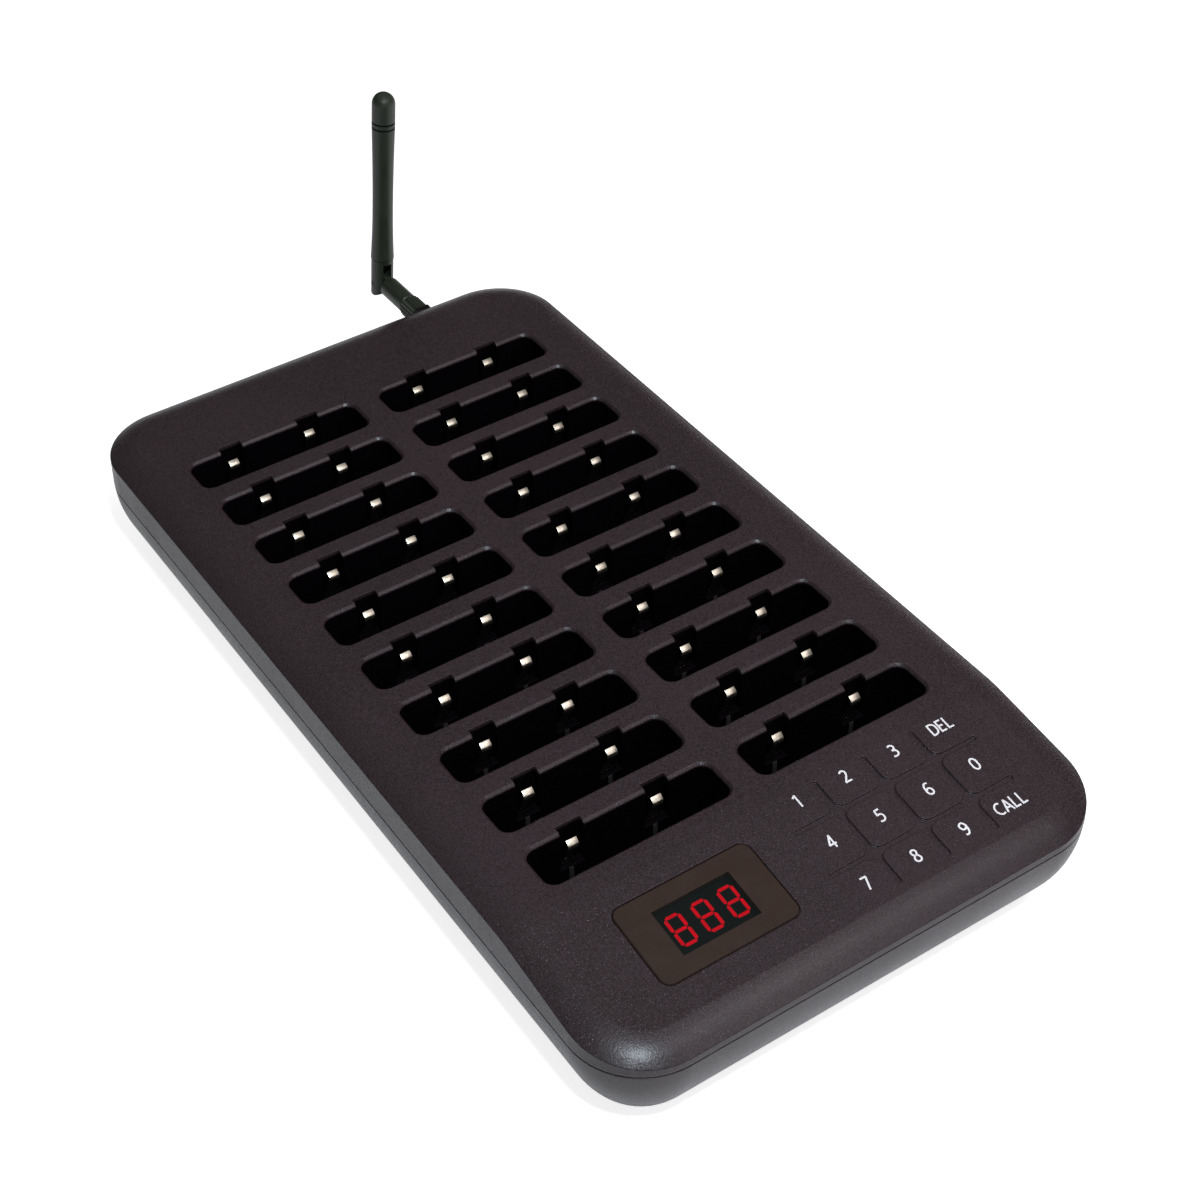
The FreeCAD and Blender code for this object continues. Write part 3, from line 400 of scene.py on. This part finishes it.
# the carried-over shapes that stay as they are
nodeFinishes = {
    "case": ("top_cover", "bottom_case"), "pane": ("display_window",), "displayFace": ("led_display",),
    "board": ("control_board", "left_contact_board", "right_contact_board", "rear_board"),
    "foam": ("touch_pads",), "spring": ("left_contact_legs", "right_contact_legs"),
    "steel": ("board_screws", "radio_can"), "black": ("buzzer", "dc_jack", "antenna_pin"),
    "rubber": ("rubber_feet",),
    "connector": ("socket_washer", "antenna_socket", "socket_nut"),
    "mast": ("antenna_nut", "antenna_barrel", "antenna_fork", "antenna_sleeve", "antenna_cap"),
}
for finish, names in nodeFinishes.items():
    for name in names:
        paintNode(name, finish)
print("carried-over pieces painted")


# contact springs, two leaves to a pocket, each a line from the foot over the knee to the tip,
# measured from the pocket's wall and the deck
springShape = {"line": ((2.0, -13.1), (-1.15, -5.75), (0.45, -4.45)), "width": 3.05, "thickness": 0.4,
               "bend": 0.6, "edge": 0.07, "spacing": 25.0, "columns": {"left": -31.2, "right": 31.2},
               "firstRow": 106.35, "pitch": 20.0, "rows": 10}


def makeLeaf(look):
    leaf = bmesh.new()
    knots = [leaf.verts.new((-look["width"] / 2, y, z)) for y, z in look["line"]]
    line = [leaf.edges.new(pair) for pair in zip(knots, knots[1:])]
    swept = bmesh.ops.extrude_edge_only(leaf, edges=line)["geom"]
    bmesh.ops.translate(leaf, verts=[v for v in swept if isinstance(v, bmesh.types.BMVert)],
                        vec=(look["width"], 0, 0))
    bends = [edge for edge in leaf.edges if len(edge.link_faces) == 2]
    bmesh.ops.bevel(leaf, geom=bends, offset=look["bend"], segments=4, profile=0.5, affect="EDGES", material=-1)
    bmesh.ops.recalc_face_normals(leaf, faces=leaf.faces)
    bmesh.ops.solidify(leaf, geom=leaf.faces[:], thickness=look["thickness"])
    bmesh.ops.translate(leaf, verts=leaf.verts, vec=(0, look["thickness"] / 2, 0))
    bmesh.ops.recalc_face_normals(leaf, faces=leaf.faces)
    rims = [edge for edge in leaf.edges if edge.calc_face_angle(0) > math.radians(60)]
    bmesh.ops.bevel(leaf, geom=rims, offset=look["edge"], segments=2, profile=0.5, affect="EDGES", material=-1)
    return leaf


def makeSprings():
    look = springShape
    for side, x in look["columns"].items():
        for row in range(look["rows"]):
            pair = bmesh.new()
            for step in (-1, 1):
                leaf = makeLeaf(look)
                place = Vector((x + step * look["spacing"] / 2, look["firstRow"] - look["pitch"] * row,
                                slopeFace["deck"]))
                bmesh.ops.transform(leaf, verts=leaf.verts,
                                    matrix=Matrix.Scale(mm, 4) @ Matrix.Translation(place))
                joined = meshFrom(leaf, "leaf")
                pair.from_mesh(joined)
                bpy.data.meshes.remove(joined)
            body = f"contact_pair_{side}_{row + 1:02d}"
            finishPiece(meshFrom(pair, f"springs_{side}_{row + 1}"), f"springs_{side}_{row + 1}", body, "spring",
                        sharp=40.0, replaced=[body])


makeSprings()
print("springs bent")


# narrow spring tails on the pocket walls, under the channels, finished near-black and dull: painted shade on the
# springs' metal
tailShape = {"centre": -0.55, "width": 1.3, "thickness": 0.3, "top": -13.75, "foot": -22.0, "edge": 0.08}


def makeTails():
    look, springs = tailShape, springShape
    group = bmesh.new()
    for x in springs["columns"].values():
        for row in range(springs["rows"]):
            for step in (-1, 1):
                tail = bmesh.new()
                bmesh.ops.create_cube(tail, size=1.0)
                place = Vector((x + step * springs["spacing"] / 2 + look["centre"],
                                springs["firstRow"] - springs["pitch"] * row - look["thickness"] / 2,
                                slopeFace["deck"] + (look["top"] + look["foot"]) / 2))
                size = (look["width"], look["thickness"], look["top"] - look["foot"])
                bmesh.ops.scale(tail, verts=tail.verts, vec=size)
                bmesh.ops.bevel(tail, geom=tail.edges[:], offset=look["edge"], segments=2, profile=0.5,
                                affect="EDGES", material=-1)
                bmesh.ops.transform(tail, verts=tail.verts,
                                    matrix=Matrix.Scale(mm, 4) @ Matrix.Translation(place))
                joined = meshFrom(tail, "tail")
                group.from_mesh(joined)
                bpy.data.meshes.remove(joined)
    finishPiece(meshFrom(group, "springTails"), "springTails", "base", "tail", sharp=40.0)


makeTails()


# near-black block put in the fork's slot above the barrel's tongue, painted shade where the slot lies in shadow:
# half width, then half depth and height of each level
forkSlotShade = {"half": 1.44, "levels": ((0.9, 3.5), (1.9, 4.3), (3.2, 7.39))}


def makeForkSlotShade():
    web = bmesh.new()
    corners = [(-depth, height) for depth, height in forkSlotShade["levels"]]
    corners += [(depth, height) for depth, height in reversed(forkSlotShade["levels"])]
    face = web.faces.new([web.verts.new((-forkSlotShade["half"], y, z)) for y, z in corners])
    grown = bmesh.ops.extrude_face_region(web, geom=[face])["geom"]
    bmesh.ops.translate(web, verts=[item for item in grown if isinstance(item, bmesh.types.BMVert)],
                        vec=(forkSlotShade["half"] * 2, 0, 0))
    bmesh.ops.transform(web, verts=web.verts, matrix=mastFrame @ Matrix.Scale(mm, 4))
    bmesh.ops.recalc_face_normals(web, faces=web.faces)
    finishPiece(meshFrom(web, "forkSlotShade"), "forkSlotShade", "antenna_mast", "shadeBlack", sharp=30.0)


makeForkSlotShade()


# case screws with a cross recess
caseScrew = {"places": screwAxes, "recess": (0.42, 1.55), "recessDepth": 1.3, "taper": 0.62,
             "profile": ((2.45, 4.3), (2.7, 4.42), (2.8, 4.7),
                         (2.8, 6.5), (1.5, 6.5), (1.5, 20.2), (0.7, 20.35))}


def ringOut(bm, edges, radius, height):
    grown = bmesh.ops.extrude_edge_only(bm, edges=edges)["geom"]
    for vert in (item for item in grown if isinstance(item, bmesh.types.BMVert)):
        flat = Vector((vert.co.x, vert.co.y, 0)).normalized() * radius
        vert.co = (flat.x, flat.y, height)
    return [item for item in grown if isinstance(item, bmesh.types.BMEdge)
            and all(abs(v.co.z - height) < 0.001 for v in item.verts)]


def makeCaseScrew(look):
    # a head with a plus-shaped well, then rings out to the rim and up the shaft
    screw = bmesh.new()
    near, far = look["recess"]
    bmesh.ops.create_grid(screw, x_segments=3, y_segments=3, size=1.0)
    for vert in screw.verts:
        vert.co = [math.copysign(far if abs(value) > 0.6 else near, value) for value in vert.co[:2]] + [0]
    base = look["profile"][0][1]
    bmesh.ops.translate(screw, verts=screw.verts, vec=(0, 0, base))
    plus = [face for face in screw.faces
            if min(abs(value) for value in face.calc_center_median()[:2]) < near]
    rim = [edge for edge in screw.edges if edge.is_boundary]
    grown = bmesh.ops.extrude_face_region(screw, geom=plus)["geom"]
    well = [item for item in grown if isinstance(item, bmesh.types.BMVert)]
    bmesh.ops.delete(screw, geom=plus, context="FACES_ONLY")
    bmesh.ops.scale(screw, verts=well, vec=(look["taper"], look["taper"], 1))
    bmesh.ops.translate(screw, verts=well, vec=(0, 0, look["recessDepth"]))
    for radius, height in look["profile"]:
        rim = ringOut(screw, rim, radius, height)
    bmesh.ops.edgeloop_fill(screw, edges=rim)
    bmesh.ops.recalc_face_normals(screw, faces=screw.faces)
    return screw


def makeCaseScrews():
    group = bmesh.new()
    for x, y in caseScrew["places"]:
        screw = makeCaseScrew(caseScrew)
        bmesh.ops.transform(screw, verts=screw.verts, matrix=Matrix.Scale(mm, 4) @ Matrix.Translation((x, y, 0)))
        joined = meshFrom(screw, "screw")
        group.from_mesh(joined)
        bpy.data.meshes.remove(joined)
    finishPiece(meshFrom(group, "caseScrews"), "caseScrews", "base", "steel", sharp=35.0,
                replaced=["case_screws"])


makeCaseScrews()
print("tails and case screws made")


# printed key labels, each character drawn as pen strokes in a cell one cap height tall
labelLook = {"columns": (6.3, 21.3, 36.6, 51.6), "rows": (5.5, 19.3, 33.2),
             "wordShift": {"DEL": 0.25, "CALL": -0.4}, "height": 3.9, "wordHeight": 3.75,
             "pen": 0.5, "spacing": 0.13, "lift": -0.01, "thickness": 0.03,
             "texts": (("1", "2", "3", "DEL"), ("4", "5", "6", "0"), ("7", "8", "9", "CALL"))}
lowLoop = ((0.46, 0.91), (0.29, 0.95), (0.13, 0.80), (0.06, 0.50), (0.09, 0.20), (0.27, 0.06), (0.45, 0.16),
           (0.47, 0.34), (0.37, 0.52), (0.22, 0.54), (0.08, 0.41))
penStrokes = {
    "0": (("loop", (0.27, 0.94), (0.45, 0.80), (0.49, 0.5), (0.45, 0.2), (0.27, 0.06), (0.09, 0.2), (0.05, 0.5),
           (0.09, 0.8)),),
    "1": (("line", (0.05, 0.80), (0.27, 0.94)), ("line", (0.27, 0.99), (0.27, 0.0))),
    "2": (("curve", (0.06, 0.83), (0.25, 0.94), (0.44, 0.82), (0.41, 0.58), (0.24, 0.32), (0.06, 0.08)),
          ("line", (0.02, 0.065), (0.52, 0.065))),
    "3": (("curve", (0.07, 0.89), (0.24, 0.94), (0.42, 0.82), (0.38, 0.61), (0.17, 0.53)),
          ("curve", (0.17, 0.53), (0.41, 0.45), (0.47, 0.25), (0.34, 0.08), (0.17, 0.055), (0.03, 0.10))),
    "4": (("line", (0.40, 1.0), (0.40, 0.0)), ("line", (0.40, 0.95), (0.05, 0.30)),
          ("line", (0.01, 0.30), (0.56, 0.30))),
    "5": (("line", (0.11, 0.935), (0.45, 0.935)), ("line", (0.13, 0.95), (0.10, 0.52)),
          ("curve", (0.10, 0.55), (0.25, 0.58), (0.42, 0.49), (0.46, 0.30), (0.37, 0.10),
                   (0.18, 0.05), (0.03, 0.10))),
    "6": (("curve", *lowLoop),),
    "7": (("line", (0.03, 0.935), (0.50, 0.935)), ("line", (0.47, 0.93), (0.17, 0.0))),
    "8": (("loop", (0.27, 0.94), (0.43, 0.84), (0.41, 0.63), (0.27, 0.52), (0.13, 0.63), (0.11, 0.84)),
          ("loop", (0.27, 0.52), (0.45, 0.39), (0.46, 0.17), (0.27, 0.06), (0.08, 0.17), (0.09, 0.39))),
    "9": (("curve", *((0.54 - x, 1 - y) for x, y in lowLoop)),),
    "A": (("line", (0.03, 0.0), (0.31, 0.98)), ("line", (0.31, 0.98), (0.59, 0.0)),
          ("line", (0.13, 0.32), (0.49, 0.32))),
    "C": (("curve", (0.58, 0.87), (0.43, 0.94), (0.20, 0.84), (0.07, 0.5), (0.20, 0.16),
                   (0.43, 0.06), (0.58, 0.12)),),
    "D": (("line", (0.07, 1.0), (0.07, 0.0)), ("curve", (0.07, 0.935), (0.28, 0.935), (0.50, 0.82), (0.58, 0.5),
                                               (0.50, 0.18), (0.28, 0.065), (0.07, 0.065))),
    "E": (("line", (0.07, 1.0), (0.07, 0.0)), ("line", (0.07, 0.935), (0.46, 0.935)),
          ("line", (0.07, 0.52), (0.42, 0.52)),
          ("line", (0.07, 0.065), (0.48, 0.065))),
    "L": (("line", (0.07, 1.0), (0.07, 0.0)), ("line", (0.07, 0.065), (0.46, 0.065))),
}


def drawStrokes(strokes, offset, penHalf):
    # flat ribbons from a curve with a bevel
    curve = bpy.data.curves.new("pen", "CURVE")
    curve.dimensions = "3D"
    curve.bevel_depth = penHalf
    curve.bevel_resolution = 1
    curve.resolution_u = 6
    curve.use_fill_caps = True
    for kind, *points in strokes:
        spline = curve.splines.new("BEZIER")
        spline.bezier_points.add(len(points) - 1)
        spline.use_cyclic_u = kind == "loop"
        for knot, (x, y) in zip(spline.bezier_points, points):
            knot.co = (x + offset, y, 0)
            knot.handle_left_type = knot.handle_right_type = "VECTOR" if kind == "line" else "AUTO"
    holder = bpy.data.objects.new("pen", curve)
    collection.objects.link(holder)
    bpy.context.view_layer.update()
    mesh = bpy.data.meshes.new_from_object(holder.evaluated_get(bpy.context.evaluated_depsgraph_get()))
    bpy.data.objects.remove(holder)
    bpy.data.curves.remove(curve)
    return mesh


def makeLabels():
    look = labelLook
    group = bmesh.new()
    for rowTexts, run in zip(look["texts"], look["rows"]):
        for text, x in zip(rowTexts, look["columns"]):
            height = look["height"] if len(text) == 1 else look["wordHeight"]
            word = bmesh.new()
            offset = 0.0
            for character in text:
                strokes = penStrokes[character]
                drawn = drawStrokes(strokes, offset, look["pen"] / 2 / height)
                word.from_mesh(drawn)
                bpy.data.meshes.remove(drawn)
                offset += max(px for _, *points in strokes for px, _ in points) + look["spacing"]
            width = offset - look["spacing"]
            flat = look["thickness"] / look["pen"]
            centre = x + look["wordShift"].get(text, 0.0)
            middle = Vector((centre, -run, look["lift"] + look["thickness"] / 2)) * mm
            place = (slopeFrame @ Matrix.Translation(middle)
                     @ Matrix.Diagonal((height * mm, height * mm, height * flat * mm, 1))
                     @ Matrix.Translation((-width / 2, -0.5, 0)))
            bmesh.ops.transform(word, verts=word.verts, matrix=place)
            bmesh.ops.recalc_face_normals(word, faces=word.faces)
            joined = meshFrom(word, "label")
            group.from_mesh(joined)
            bpy.data.meshes.remove(joined)
    finishPiece(meshFrom(group, "keyLabels"), "keyLabels", "base", "ink", sharp=30.0)


makeLabels()
print("key labels printed")


# seven-segment digits under the pane
digitShape = {"centre": (-30.85, -20.2), "pitch": 7.55, "width": 4.7, "height": 9.14, "bar": 0.86, "gap": 0.16,
              "slant": 9.0, "foot": -1.21, "thickness": 0.06}


def makeDigits():
    look = digitShape
    half = look["bar"] / 2
    reachX, reachY = look["width"] / 2 - half, look["height"] / 2 - half
    bars = [((0, reachY), 0, reachX), ((0, 0), 0, reachX), ((0, -reachY), 0, reachX)]
    bars += [((sx * reachX, sy * reachY / 2), 90, reachY / 2) for sx in (-1, 1) for sy in (-1, 1)]
    slant = Matrix.Shear("XY", 4, (math.tan(math.radians(look["slant"])), 0))
    group = bmesh.new()
    for digit in (-1, 0, 1):
        for (x, y), turn, reach in bars:
            one = bmesh.new()
            length = reach - look["gap"]
            corners = [(-length, 0), (half - length, -half), (length - half, -half), (length, 0),
                       (length - half, half), (half - length, half)]
            face = one.faces.new([one.verts.new((px, py, 0)) for px, py in corners])
            raised = bmesh.ops.extrude_face_region(one, geom=[face])
            top = [v for v in raised["geom"] if isinstance(v, bmesh.types.BMVert)]
            bmesh.ops.translate(one, verts=top, vec=(0, 0, look["thickness"]))
            centre = (look["centre"][0] + digit * look["pitch"], look["centre"][1], look["foot"])
            place = (slopeFrame @ Matrix.Scale(mm, 4) @ Matrix.Translation(centre)
                     @ slant @ Matrix.Translation((x, y, 0)) @ Matrix.Rotation(math.radians(turn), 4, "Z"))
            bmesh.ops.transform(one, verts=one.verts, matrix=place)
            bmesh.ops.recalc_face_normals(one, faces=one.faces)
            joined = meshFrom(one, "bar")
            group.from_mesh(joined)
            bpy.data.meshes.remove(joined)
    finishPiece(meshFrom(group, "displayDigits"), "displayDigits", "base", "segment", sharp=30.0)


makeDigits()
print("digits lit")


# floor, light and camera
stageLook = {"floor": (0.76, 0.76, 0.77), "glow": 0.8, "mirroredGlow": 0.27, "size": 4000.0}


def makeFloor():
    bm = bmesh.new()
    bmesh.ops.create_grid(bm, x_segments=1, y_segments=1, size=stageLook["size"] * mm)
    mesh = meshFrom(bm, "floor")
    material = bpy.data.materials.new("floorPaper")
    material.use_nodes = True
    tree = material.node_tree
    shader = tree.nodes["Principled BSDF"]
    shader.inputs["Base Color"].default_value = (*stageLook["floor"], 1)
    shader.inputs["Roughness"].default_value = 0.9
    rays = addNode(tree, "ShaderNodeLightPath")
    mirrored = calculate(tree, "MAXIMUM", rays.outputs["Is Glossy Ray"], rays.outputs["Is Transmission Ray"])
    seen = calculate(tree, "MULTIPLY", rays.outputs["Is Camera Ray"], stageLook["glow"])
    reflected = calculate(tree, "MULTIPLY", mirrored, stageLook["mirroredGlow"])
    glow = calculate(tree, "MAXIMUM", seen, reflected)
    shader.inputs["Emission Color"].default_value = (1, 1, 1, 1)
    tree.links.new(glow, shader.inputs["Emission Strength"])
    mesh.materials.append(material)
    floor = bpy.data.objects.new("floor", mesh)
    collection.objects.link(floor)


# how bright the room is at each height of the sky, from the horizon at 0 to overhead at 1
worldLook = {"levels": ((0.0, 0.05), (1.0, 0.38), (0.3, 0.05), (0.55, 0.10), (0.74, 0.19), (0.88, 0.24))}


def makeWorld():
    world = bpy.data.worlds.new("studio")
    bpy.context.scene.world = world
    world.use_nodes = True
    tree = world.node_tree
    background = tree.nodes["Background"]
    place = addNode(tree, "ShaderNodeTexCoord")
    parts = addNode(tree, "ShaderNodeSeparateXYZ")
    tree.links.new(place.outputs["Generated"], parts.inputs[0])
    level = addNode(tree, "ShaderNodeValToRGB")
    for index, (height, grey) in enumerate(worldLook["levels"]):
        stop = level.color_ramp.elements[index] if index < 2 else level.color_ramp.elements.new(height)
        stop.position = height
        stop.color = (grey, grey, grey, 1)
    tree.links.new(parts.outputs[2], level.inputs[0])
    rays = addNode(tree, "ShaderNodeLightPath")
    tree.links.new(calculate(tree, "MAXIMUM", rays.outputs["Is Camera Ray"], level.outputs[0]),
                   background.inputs["Strength"])
    background.inputs["Color"].default_value = (1, 1, 1, 1)


lampSetup = {
    "key": {"place": (600, -90, 520), "aim": (0, 0, 20), "size": (280, 280), "power": 2.7,
            "colour": (1, 0.95, 0.97), "mirrored": False},
    "overhead": {"place": (260, -350, 620), "aim": (0, -20, 20), "size": (280, 220), "power": 0.45,
                 "colour": (1, 0.93, 0.97), "mirrored": True},
    "corner": {"place": (-150, -385, 675), "aim": (-60, -130, 30), "size": (60, 45), "power": 2.6,
               "colour": (0.82, 0.92, 1.0), "mirrored": True},
    "front": {"place": (215, -550, 430), "aim": (0, -60, 20), "size": (230, 160), "power": 0.19,
              "colour": (1, 0.93, 0.97), "mirrored": True},
    "frontLeft": {"place": (-520, -420, 380), "aim": (0, -40, 20), "size": (350, 350), "power": 0.15,
                  "colour": (1, 1, 1), "mirrored": False},
}


def makeLamps():
    for name, lamp in lampSetup.items():
        data = bpy.data.lights.new(name, "AREA")
        data.shape = "RECTANGLE"
        data.size, data.size_y = (side * mm for side in lamp["size"])
        data.energy = lamp["power"]
        data.color = lamp["colour"]
        place = Vector(lamp["place"]) * mm
        holder = bpy.data.objects.new(name, data)
        holder.location = place
        holder.rotation_euler = (Vector(lamp["aim"]) * mm - place).to_track_quat("-Z", "Y").to_euler()
        holder.visible_glossy = lamp["mirrored"]
        collection.objects.link(holder)


cameraSetup = {"place": (-233.05, -377.10, 432.58), "turn": (47.9917, 0.8126, -33.9485), "lens": 66.117}


def makeCamera():
    data = bpy.data.cameras.new("camera")
    data.lens = cameraSetup["lens"]
    data.sensor_width = 36.0
    data.clip_start = 0.01
    holder = bpy.data.objects.new("camera", data)
    holder.location = Vector(cameraSetup["place"]) * mm
    holder.rotation_euler = Euler([math.radians(angle) for angle in cameraSetup["turn"]], "XYZ")
    collection.objects.link(holder)
    bpy.context.scene.camera = holder


makeFloor()
makeWorld()
makeLamps()
makeCamera()
bpy.context.scene.view_settings.view_transform = "Standard"
print("stage set")
